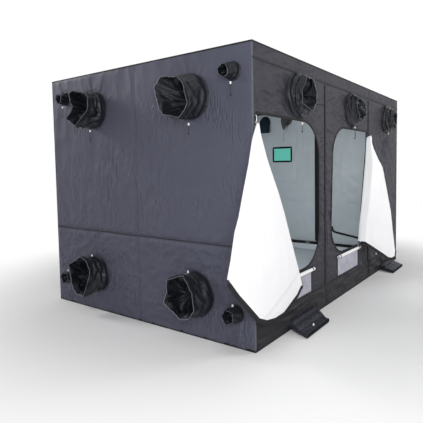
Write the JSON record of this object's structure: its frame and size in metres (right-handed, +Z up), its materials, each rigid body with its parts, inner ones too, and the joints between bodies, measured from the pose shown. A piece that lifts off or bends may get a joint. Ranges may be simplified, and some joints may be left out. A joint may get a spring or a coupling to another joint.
{
  "type": "indoor grow tent",
  "caption": "Indoor grow tent: steel tube frame under cloth walls, D-shaped doors folded open, duct sleeves with drawcords, net vents, a tinted window and a spill tray.",
  "frame": {"origin": "centre of the tent's footprint, on the ground", "axes": "+X along the front to the right, -Y out of the front wall, where the doors are, +Z up"},
  "size_m": [4.0238, 2.7105, 2.2],
  "materials": {
    "frame_steel": "satin powder coat",
    "front_cloth": "coated oxford cloth, dull sheen",
    "wall_cloth": "coated oxford cloth, dull sheen",
    "sleeve_cloth": "coated oxford cloth, matt",
    "door_lining": "bright reflective lining",
    "vent_net": "fine net over a filter",
    "tray_cloth": "reflective lining",
    "window_film": "clear tinted film with a black binding",
    "zip_metal": "nickel plate",
    "cord": "braided cord"
  },
  "bodies": {
    "tent": {"base_frame": "frame_steel", "top_frame": "frame_steel", "pole_front_1": "frame_steel", "pole_front_2": "frame_steel", "pole_front_3": "frame_steel", "pole_front_4": "frame_steel", "pole_back_1": "frame_steel", "pole_back_2": "frame_steel", "pole_back_3": "frame_steel", "pole_back_4": "frame_steel", "pole_side_1": "frame_steel", "pole_side_4": "frame_steel", "front_panel_left": "front_cloth", "front_panel_middle": "front_cloth", "front_panel_right": "front_cloth", "left_wall_front": "wall_cloth", "left_wall_back": "wall_cloth", "right_wall": "wall_cloth", "back_wall": "wall_cloth", "roof_panel": "wall_cloth", "ground_sheet": "wall_cloth", "large_sleeve_top_front": "sleeve_cloth", "large_sleeve_top_back": "sleeve_cloth", "large_sleeve_low_front": "sleeve_cloth", "large_sleeve_low_back": "sleeve_cloth", "small_sleeve_top_front": "sleeve_cloth", "small_sleeve_top_back": "sleeve_cloth", "small_sleeve_low_front": "sleeve_cloth", "small_sleeve_low_back": "sleeve_cloth", "front_sleeve_left": "sleeve_cloth", "front_sleeve_middle": "sleeve_cloth", "front_sleeve_right": "sleeve_cloth", "inner_sleeve_gathered": "sleeve_cloth", "inner_sleeve_open": "sleeve_cloth", "foot_sleeve_left": "sleeve_cloth", "foot_sleeve_right": "sleeve_cloth", "door_left_panel": "door_lining", "door_right_panel": "door_lining", "vent_roll_left": "door_lining", "vent_roll_right": "door_lining", "vent_net_left": "vent_net", "vent_net_right": "vent_net", "spill_tray": "tray_cloth", "observation_window": "window_film", "large_cord_tail_top_front": "cord", "large_cord_tail_top_back": "cord", "small_cord_tail_top_front": "cord", "small_cord_tail_top_back": "cord", "front_cord_tail_left": "cord", "front_cord_tail_middle_1": "cord", "front_cord_tail_middle_2": "cord", "inner_cord_tail": "cord"},
    "door_left_flap": {"door_left_flap": "door_lining"},
    "door_left_tip": {"door_left_tip": "door_lining"},
    "door_right_flap": {"door_right_flap": "door_lining"},
    "door_right_tip": {"door_right_tip": "door_lining"},
    "zip_slider_left": {"zip_slider_left": "zip_metal"},
    "zip_slider_right": {"zip_slider_right": "zip_metal"},
    "window_cover": {"window_cover": "wall_cloth"},
    "hanging_bar": {"hanging_bar": "frame_steel"}
  },
  "joints": [
    {"name": "door_left_swing", "type": "hinge", "parent": "tent", "child": "door_left_flap", "pos_m": [-1.7497, -1.223, 1.63], "axis": [-0.3845, 0, 0.9231], "range_deg": [0, 180]},
    {"name": "door_left_tip_unfold", "type": "hinge", "parent": "door_left_flap", "child": "door_left_tip", "pos_m": [-1.79371, -1.2347, 1.67367], "axis": [0.3893, 0, 0.9211], "range_deg": [0, 180]},
    {"name": "door_right_swing", "type": "hinge", "parent": "tent", "child": "door_right_flap", "pos_m": [0.5497, -1.249, 1.692], "axis": [-0.2177, 0, -0.976], "range_deg": [0, 165]},
    {"name": "door_right_tip_unfold", "type": "hinge", "parent": "door_right_flap", "child": "door_right_tip", "pos_m": [0.54018, -1.28542, 1.69412], "axis": [0.4807, -0.1758, -0.8591], "range_deg": [0, 180]},
    {"name": "zip_slider_left_slide", "type": "slide", "parent": "tent", "child": "zip_slider_left", "axis": [-1, 0, 0], "range_m": [0, 0.42]},
    {"name": "zip_slider_right_slide", "type": "slide", "parent": "tent", "child": "zip_slider_right", "axis": [1, 0, 0], "range_m": [0, 0.22]},
    {"name": "window_cover_lift", "type": "hinge", "parent": "tent", "child": "window_cover", "pos_m": [1.8013, 0.6515, 1.372], "axis": [0, -1, 0], "range_deg": [0, 180]},
    {"name": "hanging_bar_slide", "type": "slide", "parent": "tent", "child": "hanging_bar", "axis": [1, 0, 0], "range_m": [-0.55, 0.55]}
  ],
  "couplings": [
    {"joint": "door_left_tip_unfold", "follows": "door_left_swing", "ratio": 1},
    {"joint": "door_right_tip_unfold", "follows": "door_right_swing", "ratio": 1.0909}
  ]
}
